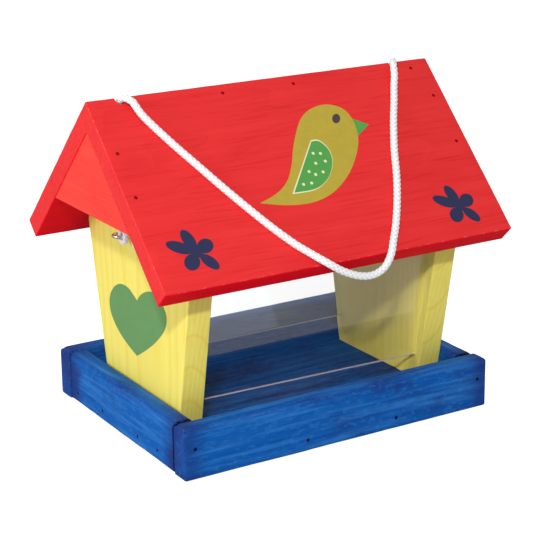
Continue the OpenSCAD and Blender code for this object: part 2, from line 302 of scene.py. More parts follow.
def paint_film(name, colour, axes, thin, ground=(0.6, 0.02, 0.02)):
    """Matt printed paint that lets a little of the stained grain through."""
    s = Shader(name)
    board = s.add("Mapping", {
        "Vector": s.place, "Rotation": Matrix(axes).to_euler()}).outputs[0]
    fibre = s.noise(s.stretch(board, 18, 520, 520), 1.0, 4.0, 0.62)
    cloud = s.noise(s.place, 160.0, 4.0, 0.7)
    c = s.mix(s.span(cloud, 0.35, 0.7), tuple(k * 0.96 for k in colour),
              tuple(k * 1.04 for k in colour))
    c = s.mix(s.calc("MULTIPLY", s.span(fibre, 0.56, 0.74), thin), c, ground)
    height = s.calc("ADD", fibre, s.calc("MULTIPLY", cloud, 0.4))
    return s.done({
        "Base Color": c,
        "Roughness": s.span(cloud, 0.3, 0.7, 0.5, 0.66),
        "Specular IOR Level": 0.14,
        "Normal": s.bump(height, 0.06, 0.8),
    })


def rope_white():
    s = Shader("white_rope")
    thread = s.add("Attribute", attribute_name="thread").outputs["Fac"]
    ply = s.calc("ABSOLUTE", s.calc("SINE", s.calc("MULTIPLY", thread, 4 * math.pi)))
    fuzz = s.noise(s.place, 2600.0, 3.0, 0.7)
    low = s.add("Attribute", attribute_name="valley").outputs["Fac"]
    # painted shade: the rope is greyer in the valleys between its strands
    c = s.mix(s.span(low, 0.1, 0.9), (0.88, 0.88, 0.89), (0.64, 0.65, 0.68))
    c = s.mix(s.calc("MULTIPLY", s.span(fuzz, 0.55, 0.8), 0.2), c, (0.60, 0.61, 0.63))
    height = s.calc("ADD", s.calc("MULTIPLY", ply, 0.5), fuzz)
    return s.done({
        "Base Color": c,
        "Roughness": s.span(fuzz, 0.3, 0.7, 0.55, 0.72),
        "Sheen Weight": 0.15,
        "Sheen Roughness": 0.4,
        "Normal": s.bump(height, 0.07, 0.8),
    })


def metal(name, colour, rough, mark, tarnish):
    s = Shader(name)
    drawn = s.noise(s.stretch(s.place, 900, 900, 250), 1.0, 4.0)
    cloud = s.noise(s.place, 320.0, 4.0, 0.65)
    c = s.mix(s.calc("MULTIPLY", s.span(cloud, 0.5, 0.7), mark), colour, tarnish)
    return s.done({
        "Base Color": c,
        "Metallic": 1.0,
        "Roughness": s.span(drawn, 0.3, 0.7, rough, rough + 0.18),
        "Normal": s.bump(drawn, 0.03, 0.5),
    })


def acrylic():
    """Clear sheet: polished glass to look at, which lets lamplight through."""
    s = Shader("clear_acrylic")
    film = s.noise(s.stretch(s.place, 60, 240, 25), 1.0, 4.0, 0.7)
    clear = s.add("BsdfPrincipled", {
        "Base Color": (0.93, 0.935, 0.94, 1), "Transmission Weight": 1.0, "IOR": 1.49,
        "Roughness": s.span(film, 0.45, 0.8, 0.0, 0.012)})
    gap = s.add("BsdfTransparent", {0: (0.82, 0.82, 0.82, 1)})
    lamp = s.add("LightPath").outputs["Is Shadow Ray"]
    s.output(s.add("MixShader", {0: lamp, 1: clear.outputs[0], 2: gap.outputs[0]}))
    return s.material


def acrylic_edge():
    """A sawn edge of the sheet, frosted and dull."""
    s = Shader("acrylic_edge")
    saw = s.noise(s.stretch(s.place, 700, 500, 500), 1.0, 5.0, 0.75)
    return s.done({
        "Base Color": s.mix(s.span(saw, 0.3, 0.7), (0.26, 0.21, 0.25), (0.42, 0.35, 0.39)),
        "Roughness": s.span(saw, 0.3, 0.7, 0.25, 0.5),
        "Subsurface Weight": 0.2,
        "Subsurface Radius": (0.004, 0.004, 0.004),
        "Normal": s.bump(saw, 0.06, 0.7),
    })


# ------------------------------------------------------------ mesh building
def make(name, points, faces, materials, smooth=30.0):
    """A mesh object from points in millimetres, sharp where faces turn by smooth."""
    mesh = bpy.data.meshes.new(name)
    mesh.from_pydata([tuple(np.asarray(p) * MM) for p in points], [], faces)
    for m in materials:
        mesh.materials.append(m)
    mesh.shade_smooth()
    mesh.set_sharp_from_angle(angle=math.radians(smooth))
    return link(bpy.data.objects.new(name, mesh))


def spans(lo, hi, r_lo, r_hi, cell):
    """Grid places from lo to hi, close together where the ends are rounded."""
    ease = [1 - math.tan(math.radians(a)) for a in (45, 36, 27, 18, 9)]
    start = [lo + r_lo * e for e in ease]
    stop = [hi - r_hi * e for e in reversed(ease)]
    a, b = lo + r_lo, hi - r_hi
    n = max(1, round((b - a) / cell))
    return start + [a + (b - a) * i / n for i in range(n + 1)] + stop


def grid_box(places):
    """Points and outward quads of a box's surface with grid lines at places."""
    n = [len(p) - 1 for p in places]
    index, points, faces = {}, [], []
    for axis in range(3):
        a, b = (axis + 1) % 3, (axis + 2) % 3
        for side in (0, n[axis]):
            for i in range(n[a]):
                for j in range(n[b]):
                    quad = []
                    for di, dj in ((0, 0), (1, 0), (1, 1), (0, 1)):
                        key = [0, 0, 0]
                        key[axis], key[a], key[b] = side, i + di, j + dj
                        key = tuple(key)
                        if key not in index:
                            index[key] = len(points)
                            points.append([places[k][key[k]] for k in range(3)])
                        quad.append(index[key])
                    faces.append(quad if side else quad[::-1])
    return np.array(points), faces


def round_off(p, edge, lo, hi, a, b, radii):
    """Rounds the four edges along the third axis. radii: low a low b, high a low b,
    high a high b, low a high b. edge gains how far a point is into a rounding."""
    for r, sa, sb in zip(radii, (-1, 1, 1, -1), (-1, -1, 1, 1)):
        ca = hi[a] - r if sa > 0 else lo[a] + r
        cb = hi[b] - r if sb > 0 else lo[b] + r
        da, db = (p[:, a] - ca) * sa, (p[:, b] - cb) * sb
        inside = (da > 1e-6) & (db > 1e-6)
        far = np.maximum(da, db)
        k = np.where(inside, far / np.maximum(np.hypot(da, db), 1e-9), 1)
        near = np.where(inside & (far > 0.98 * r), np.minimum(da, db) / r, 0)
        edge[:] = np.maximum(edge, near)
        p[:, a] = np.where(inside, ca + sa * da * k, p[:, a])
        p[:, b] = np.where(inside, cb + sb * db * k, p[:, b])


def board(name, lo, hi, materials, radii, cell=6.0, shape=None, wobble=0.06,
          nicks=0.12, seed=0):
    """A board that fills lo to hi with rounded edges. radii are for the edges
    along X, Y and Z, four each; shape moves its points afterwards. Its faces wander
    by wobble and its edges are worn by nicks, in millimetres."""
    lo, hi = np.array(lo, float), np.array(hi, float)
    along_x, along_y, along_z = radii
    ends = [
        (max(along_y[0], along_y[1], along_z[0], along_z[3]),
         max(along_y[2], along_y[3], along_z[1], along_z[2])),
        (max(along_x[0], along_x[3], along_z[0], along_z[1]),
         max(along_x[1], along_x[2], along_z[2], along_z[3])),
        (max(along_x[0], along_x[1], along_y[0], along_y[3]),
         max(along_x[2], along_x[3], along_y[1], along_y[2])),
    ]
    places = [spans(lo[k], hi[k], *ends[k], cell) for k in range(3)]
    points, faces = grid_box(places)
    edge = np.zeros(len(points))
    round_off(points, edge, lo, hi, 1, 2, along_x)
    round_off(points, edge, lo, hi, 2, 0, along_y)
    round_off(points, edge, lo, hi, 0, 1, along_z)
    if shape:
        points = np.array([shape(*p) for p in points])
    obj = make(name, points, faces, materials)
    mesh = obj.data
    mesh.attributes.new("edge", "FLOAT", "POINT").data.foreach_set("value", edge)
    bm = bmesh.new()
    bm.from_mesh(mesh)
    bm.normal_update()
    offset = Vector((seed * 3.7, seed * 1.3, -seed * 2.1))
    for v, e in zip(bm.verts, edge):
        p = v.co / MM
        slow = noise.noise(p / 38 + offset)
        quick = noise.noise(p / 4.5 - offset) * 0.6 + noise.noise(p / 11 + offset)
        move = wobble * slow - nicks * max(0.0, quick - 0.05) * min(1.0, 2 * e)
        v.co += v.normal * move * MM
    bm.to_mesh(mesh)
    bm.free()
    return obj


def tube_frames(path):
    """Two normals, square to each other, carried along a path of points."""
    t = np.gradient(path, axis=0)
    t /= np.linalg.norm(t, axis=1)[:, None]
    u = np.zeros_like(path)
    v = np.array([1.0, 0, 0]) if abs(t[0][0]) < 0.9 else np.array([0, 1.0, 0])
    for i, ti in enumerate(t):
        v = v - (v @ ti) * ti
        v /= np.linalg.norm(v)
        u[i] = v
    return u, np.cross(t, u)


def through(points, n=10):
    """A smooth line through a few points, with n steps between each two."""
    p = np.array(points, float)
    last = len(p) - 1
    out = []
    for i in range(last):
        a, b, c, d = p[max(i - 1, 0)], p[i], p[i + 1], p[min(i + 2, last)]
        for t in np.linspace(0, 1, n, endpoint=False):
            out.append(0.5 * (2 * b + (c - a) * t + (2 * a - 5 * b + 4 * c - d) * t**2
                              + (3 * b - a - 3 * c + d) * t**3))
    return out + [p[-1]]


def smooth_path(points, step):
    """A smooth line through points with even steps, and the run at each of its own."""
    out = np.array(through(points, 24))
    run = np.concatenate([[0], np.cumsum(np.linalg.norm(np.diff(out, axis=0), axis=1))])
    at = np.linspace(0, run[-1], max(4, round(run[-1] / step)) + 1)
    return np.stack([np.interp(at, run, out[:, k]) for k in range(3)], axis=1), at


def bands(rings, sides):
    """The quads between rings of points that follow one another."""
    turns = [(k, (k + 1) % sides) for k in range(sides)]
    return [(i * sides + k, i * sides + j, (i + 1) * sides + j, (i + 1) * sides + k)
            for i in range(rings - 1) for k, j in turns]


def tube(path, run, sides, radius):
    """Points and faces of a closed tube; radius(angles, run) gives its size."""
    u, v = tube_frames(path)
    ang = np.linspace(0, 2 * math.pi, sides, endpoint=False)
    rings = []
    for i in range(len(path)):
        r = radius(ang, run[i])[:, None]
        rings.append(path[i] + r * (np.cos(ang)[:, None] * u[i] + np.sin(ang)[:, None] * v[i]))
    points = np.vstack(rings + [path[:1], path[-1:]])
    faces = bands(len(path), sides)
    first, last = len(points) - 2, len(points) - 1
    end = (len(path) - 1) * sides
    for k in range(sides):
        j = (k + 1) % sides
        faces.append((first, j, k))
        faces.append((last, end + k, end + j))
    return points, faces


def braid(ang, run, pitch):
    """Height 0 to 1 of a tubular braid, and where across its strand a point is."""
    a = STRANDS * ang / (2 * math.pi) + run / pitch
    b = STRANDS * ang / (2 * math.pi) - run / pitch
    fa, fb = a - np.floor(a), b - np.floor(b)
    top = (np.floor(a) + np.floor(b)) % 2 == 0
    across = np.where(top, fa, fb)
    along = np.where(top, fb, fa)
    body = np.sqrt(np.clip(1 - (2 * across - 1) ** 2, 0, 1))
    arch = 0.45 + 0.55 * np.sin(math.pi * along)
    return body * arch, across


def braided(name, routes, d, material, step, sides, pitch=3.7, ends=None):
    """A braided rope of diameter d along each of routes, as one mesh, and its middle
    lines. ends is how much of a route's far end is rounded off."""
    points, faces, threads, valleys, centres = [], [], [], [], []
    for route in routes:
        path, run = smooth_path(route, step)
        depth = 0.22 * d / 2
        total = run[-1]

        def radius(ang, at):
            h, _ = braid(ang, at, pitch)
            r = d / 2 - depth + depth * h
            if ends:
                left = min(total - at, ends)
                r = r * math.sqrt(max(0.0, 1 - (1 - left / ends) ** 2)) if left < ends else r
            return np.maximum(r, 0.02)

        pts, fcs = tube(path, run, sides, radius)
        base = sum(len(p) for p in points)
        points.append(pts)
        faces += [tuple(k + base for k in f) for f in fcs]
        ang = np.linspace(0, 2 * math.pi, sides, endpoint=False)
        for at in run:
            h, across = braid(ang, at, pitch)
            threads.append(across)
            valleys.append(1 - h)
        threads.append(np.array([0.5, 0.5]))
        valleys.append(np.array([0.5, 0.5]))
        centres.append(path)
    obj = make(name, np.vstack(points), faces, [material], smooth=70)
    for label, values in (("thread", threads), ("valley", valleys)):
        layer = obj.data.attributes.new(label, "FLOAT", "POINT")
        layer.data.foreach_set("value", np.concatenate(values).astype(np.float32))
    return obj, centres


# ----------------------------------------------------------------- the rope
# The same route as the CAD: up a leg, over the front of the roof, down a leg.
def on_roof(x, s, h):
    """x along the ridge, s down the front slope, h above it."""
    return (x, -(s + h) * Q, RIDGE_Z - (s - h) * Q)


LOOP_Y = EYE_Y - EYE_R
LEG_TOP = UNDER_Z - 1
LEFT_LEG = [(LEFT_OUT - EYE_OUT, LOOP_Y, KNOT_Z + 5), (-111, 6.5, 176), (-112, 3.6, 194),
            (LEFT_HOLE, 0.8, 207), (LEFT_HOLE, 0, 214), (LEFT_HOLE, 0, LEG_TOP)]
RIGHT_LEG = [(RIGHT_OUT + EYE_OUT - 0.4, LOOP_Y, KNOT_Z + 5), (119, 6.6, 172),
             (118.4, 4.6, 189), (117, 2.2, 203.5), (112.6, 0.6, 211.5),
             (RIGHT_HOLE, 0, 216.6), (RIGHT_HOLE, 0, LEG_TOP)]
OVER_LEFT = [(0, 0, LEG_TOP + 4.5), (0, 1, 230), (0, 1.5, 235.2), (0.2, 0.5, 238.8),
             (0.7, -2.1, 241.4), (1.6, -5.7, 242.4), (3.1, -9.1, 241.6), (4.8, -11.2, 239.8)]
OVER_RIGHT = [(-6.1, -10, 241.2), (-4.8, -7.9, 243), (-3.1, -5.2, 243.7), (-1.2, -2, 242.7),
              (0.2, 0.3, 240), (0.7, 1.2, 236.2), (0.6, 0.9, 230), (0, 0, LEG_TOP + 4.5)]
DRAPE = (
    [(LEFT_HOLE + x, y, z) for x, y, z in OVER_LEFT]
    + [on_roof(*p) for p in ((-104.8, 17.8, 4), (-99.8, 26.8, 2.9), (-91, 43, 2.6),
                             (-80, 62, 2.6), (-69, 81, 2.6), (-58, 99, 2.6),
                             (-47, 116, 2.6), (-36, 131, 2.7), (-28, 140, 3))]
    + [(-19, -109, 139), (-9, -111.5, 132.5), (3, -112.5, 127.5), (14, -112.5, 126),
       (24, -111.5, 129), (31, -109.5, 136.5)]
    + [on_roof(*p) for p in ((38, 142, 3), (46, 130, 2.7), (55, 114, 2.6), (64, 95, 2.6),
                             (73, 72.5, 2.6), (83, 51, 2.6), (91.8, 34, 2.6),
                             (95.7, 25.5, 3), (98.4, 19.5, 3.9), (100.4, 15, 4.8))]
    + [(RIGHT_HOLE + x, y, z) for x, y, z in OVER_RIGHT]
)
WHITE = rope_white()
rope, centres = braided("rope", [LEFT_LEG + DRAPE + RIGHT_LEG[::-1]], BRAID_D, WHITE,
                        step=0.36, sides=44)


def knot(name, x, out):
    """The rope's end: down through two wraps, round the ring, up and wrapped, with
    a cut and sealed tail. out is -1 on the left and 1 on the right."""
    y, z = LOOP_Y, KNOT_Z
    route = [(x, y, z + 7), (x, y, z + 2), (x, y - 0.6, z - 2), (x, y - 3.3, z - 7),
             (x, y - LOOP_R, z - 10.5)]
    route += [(x, y + LOOP_R * math.cos(a), EYE_Z + LOOP_R * math.sin(a))
              for a in np.radians(np.linspace(180, 360, 7))]
    route += [(x, y + LOOP_R - 0.1, z - 8.5), (x + out * 0.6, y + 4.1, z - 5)]
    wrap_r, rise, steps = 3.9, 6.6, 12
    for k in range(steps + 1):
        a = math.radians(90 + k * 50)
        route.append((x + out * wrap_r * math.cos(a), y + wrap_r * math.sin(a),
                      z - 3.2 + rise * k / steps))
    tail = [(x, y - 2.6, z + 1), (x - out * 1.0, y - 6.4, z - 3.5),
            (x - out * 2.6, y - 9.4, z - 9), (x - out * 3.6, y - 11, z - 18)]
    obj, _ = braided(name, [route, tail], KNOT_D, WHITE, step=0.4, sides=30, pitch=3.0,
                     ends=1.3)
    return obj


knots = [knot("left_knot_rope", LEFT_OUT - EYE_OUT, -1),
         knot("right_knot_rope", RIGHT_OUT + EYE_OUT, 1)]
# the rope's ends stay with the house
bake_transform(rope)
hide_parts("rope_loop", "rope_leg_left", "rope_leg_right")
piece(knots[0], "house", "white_rope", "left_knot")
piece(knots[1], "house", "white_rope", "right_knot")
tuple(c * MM for c in LEFT_LEG[0])


# ------------------------------------------------------------ cutting tools
def lathe(profile, at, direction, sides):
    """Points and faces of a solid of revolution about a line through at.
    profile is (distance along direction, radius) pairs from end to end."""
    d = Vector(direction).normalized()
    turn = d.to_track_quat("Z", "Y").to_matrix()
    points = []
    for h, r in profile:
        for k in range(sides):
            a = 2 * math.pi * k / sides
            p = turn @ Vector((r * math.cos(a), r * math.sin(a), h))
            points.append(tuple(Vector(at) + p))
    top = (len(profile) - 1) * sides
    ends = [tuple(reversed(range(sides))), tuple(range(top, top + sides))]
    return points, bands(len(profile), sides) + ends


def gather(parts):
    """The points and faces of several parts as those of one."""
    points, faces = [], []
    for p, f in parts:
        faces += [tuple(k + len(points) for k in face) for face in f]
        points += list(p)
    return points, faces


def cut(obj, parts, material):
    """Takes parts out of obj, and gives what they leave their material."""
    tool = make("tool", *gather(parts), [material])
    mod = obj.modifiers.new("cut", "BOOLEAN")
    mod.operation, mod.solver, mod.material_mode = "DIFFERENCE", "EXACT", "TRANSFER"
    mod.object = tool
    shot = obj.evaluated_get(bpy.context.evaluated_depsgraph_get())
    mesh = bpy.data.meshes.new_from_object(shot)
    obj.modifiers.clear()
    old, obj.data = obj.data, mesh
    mesh.shade_smooth()
    mesh.set_sharp_from_angle(angle=math.radians(30))
    bpy.data.meshes.remove(old)
    bpy.data.objects.remove(tool)


def nail_hole(at, out):
    return lathe([(-0.9, 1.22), (-0.2, 1.22), (0, 1.32), (1.5, 1.6)], at, out, 16)


def nail(at, out):
    """A brad with its head set below the surface and a shallow dome on it."""
    return lathe([(-35, 0.1), (-33, 0.8), (-1.75, 0.8), (-1.35, 1.2), (-0.85, 1.2),
                  (-0.72, 0.95), (-0.66, 0.5)], at, out, 16)


FRONT, BACK, LEFT, RIGHT = (0, -1, 0), (0, 1, 0), (-1, 0, 0), (1, 0, 0)
FRONT_UP, BACK_UP = (0, -Q, Q), (0, Q, Q)
CORNER_X, CORNER_Z = (X0 + RAIL_T / 2, X1 - RAIL_T / 2), 22
LOW_X, LOW_Y, LOW_Z = (-24, 50), (-50, -21, 34, 75), 8
NAILS = {
    "front_corners": [((x, Y0, CORNER_Z), FRONT) for x in CORNER_X],
    "front_low": [((x, Y0, LOW_Z), FRONT) for x in LOW_X],
    "back_corners": [((x, Y1, CORNER_Z), BACK) for x in CORNER_X],
    "back_low": [((x, Y1, LOW_Z), BACK) for x in LOW_X],
    "left_low": [((X0, y, LOW_Z), LEFT) for y in LOW_Y],
    "right_low": [((X1, y, LOW_Z), RIGHT) for y in LOW_Y],
    "ridge": [(on_roof(x, ROOF_T / 2, 0), FRONT_UP) for x in (-106, -37, 20, 121)],
    "gable_front": [((x, -s * Q, RIDGE_Z - s * Q), FRONT_UP) for x, s in
                    ((-130.5, 42.8), (-130.5, 76.9), (128.6, 33), (128.6, 73))],
    "gable_back": [((x, s * Q, RIDGE_Z - s * Q), BACK_UP)
                   for x in (-130.5, 130.5) for s in (40, 75)],
}


def holes(*rows):
    return [nail_hole(*n) for row in rows for n in NAILS[row]]


# ------------------------------------------------------------------ the tray
ALONG_X = ((1, 0, 0), (0, 1, 0), (0, 0, 1))
ALONG_Y = ((0, 1, 0), (-1, 0, 0), (0, 0, 1))
ALONG_Z = ((0, 0, 1), (0, -1, 0), (1, 0, 0))
blue_hole = hole_stain_and_shade("blue_hole", (0.002, 0.006, 0.03))
R_BIG, R_SOFT = 4.6, 1.3


def blue(name, axes, pith, shift, tones=BLUE, **more):
    return wood(name, axes, pith, tones, rings=0.35, ring_gap=3.4, streaks=0.85,
                blotches=0.8, fibres=0.5, wear=0.35, rough=(0.40, 0.60), relief=0.12,
                shift=shift, shine=0.07, fine=2.0, mottle=0.4, **more)


def screw_seats():
    xs = (LEFT_OUT + SIDE_T / 2, RIGHT_OUT - SIDE_T / 2)
    return [(x, y, 0) for x in xs for y in (-SCREW_Y, SCREW_Y)]


floor = board("tray_floor_board", *cad("tray_floor"),
              [blue("blue_floor", ALONG_X, (0, 20, -70), (30, 0, 0), SHADED_FLOOR_BLUE), blue_hole],
              [[0.3] * 4] * 3, cell=8, seed=1)
cut(floor, [lathe([(-1, 4.6), (0.4, 4.15), (2.9, 2.1), (5, 2.1)], p, (0, 0, 1), 24)
            for p in screw_seats()], blue_hole)
piece(floor, "house", "blue_stain", "tray_floor")

LONG_RADII = [[R_SOFT, R_SOFT, R_BIG, R_BIG], [R_SOFT, R_BIG, 3.0, R_SOFT], [1.4] * 4]
SHORT_RADII = [[1.5, 1.5, 2.2, 2.2], [R_SOFT, R_BIG, R_BIG, R_SOFT], [1.6] * 4]
# each rail's pith and shift, and how much less than its node it is at each corner
for seed, (side, pith, shift, low, high) in enumerate((
        ("front", (-60, -60, -10), (10, 5, 0), (0, 0, 0), (0, 0, 0)),
        ("back", (40, 150, 60), (-40, 9, 3), (0, 0, 0), (0, 0, 0)),
        ("left", (0, 160, 40), (15, -4, 8), (0.6, 0.5, 0.7), (0, 0.5, 0.3)),
        ("right", (30, -170, 30), (-8, 6, 2), (0, 0.5, 0.5), (0.5, 0.5, 0.2))), 2):
    lo, hi = cad(side + "_rail")
    if side in ("front", "back"):
        axes, ends, joint, radii = ALONG_X, (lo[0], hi[0]), 0.0, LONG_RADII
    else:
        axes, ends, joint, radii = ALONG_Y, (lo[1], hi[1]), 0.95, SHORT_RADII
    stain = blue("blue_" + side, axes, pith, shift, ends=ends, joint=joint)
    rail = board(side + "_rail_board", lo + low, hi - high, [stain, blue_hole], radii,
                 wobble=0.18, nicks=0.25, seed=seed)
    cut(rail, holes(*[row for row in NAILS if row.startswith(side)]), blue_hole)
    piece(rail, "house", "blue_stain", side + "_rail")

# -------------------------------------------------------------- side boards
# painted shade: the grooves' inside is a dark brown for the shade in them
groove_shade_paint = hole_stain_and_shade("yellow_groove_painted_shade", (0.22, 0.13, 0.02))


def half_width(z):
    """Half a side board's width at z: wider up to its shoulders, then narrower."""
    if z <= SHOULDER_Z:
        return FOOT + math.tan(LEAN) * (z - FLOOR_T)
    wide, top = FOOT + math.tan(LEAN) * (SHOULDER_Z - FLOOR_T), UNDER_Z - ROOF_PLAY - SIDE_TOP
    return wide + (top - wide) * (z - SHOULDER_Z) / (SIDE_TOP - SHOULDER_Z)


def leaning_box(side, depth, thick, z_lo, z_hi, x_lo, x_hi):
    """A slab parallel to a board's leaning edge: depth in from it, thick through."""
    points = []
    for z in (z_lo, z_hi):
        outer = FOOT + math.tan(LEAN) * (z - FLOOR_T) - depth / math.cos(LEAN)
        for y in (outer, outer - thick / math.cos(LEAN)):
            points += [(x_lo, side * y, z), (x_hi, side * y, z)]
    faces = [(0, 2, 3, 1), (4, 5, 7, 6), (0, 1, 5, 4), (2, 6, 7, 3), (0, 4, 6, 2), (1, 3, 7, 5)]
    if side > 0:
        faces = [f[::-1] for f in faces]
    return points, [f[::-1] for f in faces]


# a pane's depth in from the leaning edge, its thickness and its play in the groove
PANE_IN, PANE_T, PANE_PLAY, GROOVE, GROOVE_TOP = 6.0, 3.0, 0.2, 5.0, 177
PANE_Z = cad("front_pane")[0][2]


def side_board(name, x_lo, groove_lo, groove_hi, pith, shift, seed, **more):
    material = wood("yellow_" + name, ALONG_Z, pith, YELLOW, ring_gap=3.6, blotches=0.35,
                    fibres=0.28, wear=0.3, rough=(0.40, 0.55), relief=0.07, shift=shift,
                    **more)
    wide = half_width(SHOULDER_Z)

    def shape(x, y, z):
        return x, y * half_width(z) / wide, z

    obj = board(name + "_board", (x_lo, -wide, FLOOR_T), (x_lo + SIDE_T, wide, SIDE_TOP),
                [material, groove_shade_paint], [[0.6] * 4, [0.5] * 4, [0.9] * 4], cell=7,
                shape=shape, wobble=0.05, nicks=0.15, seed=seed)
    cut(obj, [leaning_box(s, PANE_IN - PANE_PLAY, PANE_T + 2 * PANE_PLAY, PANE_Z - 1.5,
                          GROOVE_TOP, groove_lo, groove_hi) for s in (-1, 1)], groove_shade_paint)
    return obj


left_side = side_board("left_side", LEFT_OUT, LEFT_OUT + SIDE_T - GROOVE,
                       LEFT_OUT + SIDE_T + 1, (0, 12, 60), (25, 0, 0), 6,
                       rings=0.55, streaks=0.45,
                       arcs=((92, -100, 1), (68, -100, 1), (42, -99, 1)))
right_side = side_board("right_side", RIGHT_OUT - SIDE_T, RIGHT_OUT - SIDE_T - 1,
                        RIGHT_OUT - SIDE_T + GROOVE, (0, -18, 190),
                        (60, 7, 0), 7, rings=0.4, streaks=0.15,
                        arcs=((104, 98, -1), (73, 99, -1), (45, 98, -1)))
piece(left_side, "house", "yellow_stain", "left_side")
piece(right_side, "house", "yellow_stain", "right_side")

# -------------------------------------------------------------------- panes
CLEAR, CLEAR_EDGE = acrylic(), acrylic_edge()


def pane(name, side, left, right):
    """A sheet in its grooves, with its ends lifted by left and right."""
    long = RIGHT_OUT - LEFT_OUT - 2 * SIDE_T + 2 * GROOVE - 1
    x_mid = (LEFT_OUT + RIGHT_OUT) / 2
    tall = (SHOULDER_Z - 4 - PANE_Z) / math.cos(LEAN)
    base = FOOT + math.tan(LEAN) * (PANE_Z - FLOOR_T) - PANE_IN / math.cos(LEAN)
    turn = Matrix.Rotation(-side * LEAN, 3, "X")
    foot = Vector((x_mid, side * base, PANE_Z))

    def shape(x, y, z):
        lift = left + (right - left) * (x / long + 0.5)
        return tuple(foot + turn @ Vector((x, y, z + lift)))

    lo_y = -PANE_T if side > 0 else 0
    obj = board(name, (-long / 2, lo_y, 0), (long / 2, lo_y + PANE_T, tall),
                [CLEAR, CLEAR_EDGE], [[0.15] * 4] * 3, cell=30, shape=shape, wobble=0.0,
                nicks=0.0)
    obj.data.shade_flat()
    for f in obj.data.polygons:
        if abs(f.normal.y) < 0.8:
            f.material_index = 1
    return obj


piece(pane("front_pane_sheet", -1, 2.2, -1.2), "house", "clear_acrylic", "front_pane")
piece(pane("back_pane_sheet", 1, 2.2, 1.6), "house", "clear_acrylic", "back_pane")

# --------------------------------------------------------------------- roof
red_hole = hole_stain_and_shade("red_hole", (0.40, 0.002, 0.010))
SLOPE = ROOF_HALF / Q  # the front panel's length down the roof
ON_FRONT = ((1, 0, 0), (0, Q, Q), (0, -Q, Q))
ON_BACK = ((-1, 0, 0), (0, -Q, Q), (0, Q, Q))


def from_roof(axes):
    turn = Matrix(axes).transposed()
    ridge = Vector((0, 0, RIDGE_Z))
    return lambda x, y, z: tuple(ridge + turn @ Vector((x, y, z)))


def red(name, axes, pith, shift, tones=RED, **more):
    values = dict(rings=0.15, ring_gap=2.9, streaks=0.22, blotches=0.2, fibres=0.42,
                  wear=0.55, rough=(0.40, 0.56), relief=0.08, shift=shift, fine=1.5)
    values.update(more)
    return wood(name, axes, pith, tones, **values)


def paint_shade_below(obj, material):
    """Gives the faces that look down a deeper, more saturated red: painted shade."""
    obj.data.materials.append(material)
    for f in obj.data.polygons:
        if f.normal.z < -0.1 and f.material_index == 0:
            f.material_index = len(obj.data.materials) - 1


PANEL_RADII = [[0.8, 0.5, 0.8, 1.4], [0.8] * 4, [0.8] * 4]
rope_holes = [lathe([(-30, HOLE_R), (40, HOLE_R)], (x, 0, RIDGE_Z - 15), (0, 0, 1), 32)
              for x in (LEFT_HOLE, RIGHT_HOLE)]
for side, axes, pith, top, rows, seed in (
        ("front", ON_FRONT, (40, -40, -95), 0, ("ridge", "gable_front"), 8),
        ("back", ON_BACK, (-30, -90, -80), -ROOF_T - 0.02, ("gable_back",), 9)):
    shift = (0, -168, 168)
    panel = board(f"roof_{side}_panel_board", (-ROOF_X, -SLOPE, -ROOF_T), (ROOF_X, top, 0),
                  [red("red_" + side, axes, pith, shift), red_hole], PANEL_RADII, cell=7,
                  shape=from_roof(axes), wobble=0.04, nicks=0.22, seed=seed)
    cut(panel, holes(*rows) + rope_holes, red_hole)
    paint_shade_below(panel, red("red_shaded_below_" + side, axes, pith, shift, SHADED_UNDERSIDE_RED, shine=0.05))
    piece(panel, "roof", "red_stain", f"roof_{side}_panel")


def gable(name, x_lo, x_hi, node, shift, seed):
    half = UNDER_Z - GABLE_Z

    def shape(x, y, z):
        return x, y * max(0.004, (UNDER_Z - z) / half), z

    obj = board(name, (x_lo, -half, GABLE_Z), (x_hi, half, UNDER_Z),
                [red("red_" + node, ALONG_Y, (10, 0, 60), shift, ORANGE_RED, streaks=0.4),
                 red_hole],
                [[0.4] * 4, [0.7] * 4, [0.15] * 4], cell=6, shape=shape, wobble=0.04,
                nicks=0.15, seed=seed)
    return piece(obj, "roof", "red_stain", node)


gable("left_gable_board", -ROOF_X + 0.5, -ROOF_X + ROOF_T, "left_gable", (20, 0, -200), 10)
gable("right_gable_board", ROOF_X - ROOF_T, ROOF_X - 0.5, "right_gable", (-15, 3, -190), 11)

# ---------------------------------------------------------------- fasteners
STEEL = metal("screw_steel", (0.55, 0.55, 0.56), 0.35, 0.5, (0.28, 0.24, 0.22))


def stained_nail(name, colour, bare):
    """A steel nail head under the boards' stain, thin in places."""
    s = Shader(name)
    cloud = s.noise(s.place, 900.0, 4.0, 0.65)
    thin = s.span(cloud, 0.56, 0.7)
    return s.done({
        "Base Color": s.mix(thin, colour, bare),
        "Metallic": s.calc("MULTIPLY", thin, 0.4),
        "Roughness": s.span(cloud, 0.3, 0.7, 0.45, 0.65),
        "Specular IOR Level": 0.1,
        "Normal": s.bump(cloud, 0.06, 0.6),
    })


RED_NAIL = stained_nail("red_nail", (0.36, 0.002, 0.010), (0.44, 0.03, 0.03))
BLUE_NAIL = stained_nail("blue_nail", (0.004, 0.010, 0.045), (0.05, 0.06, 0.10))
BRIGHT = metal("bright_steel", (0.80, 0.82, 0.83), 0.14, 0.25, (0.48, 0.50, 0.50))


def nail_piece(name, rows, body, node):
    skin = RED_NAIL if body == "roof" else BLUE_NAIL
    obj = make(name, *gather([nail(*n) for row in rows for n in NAILS[row]]), [skin], 40)
    return piece(obj, body, "steel", node)


nail_piece("corner_brads", ("front_corners", "back_corners"), "house", "rail_corner_nails")
nail_piece("floor_brads", ("front_low", "back_low", "left_low", "right_low"), "house",
           "floor_nails")
nail_piece("ridge_brads", ("ridge",), "roof", "ridge_nails")
nail_piece("front_gable_brads", ("gable_front",), "roof", "gable_nails_front")
nail_piece("back_gable_brads", ("gable_back",), "roof", "gable_nails_back")

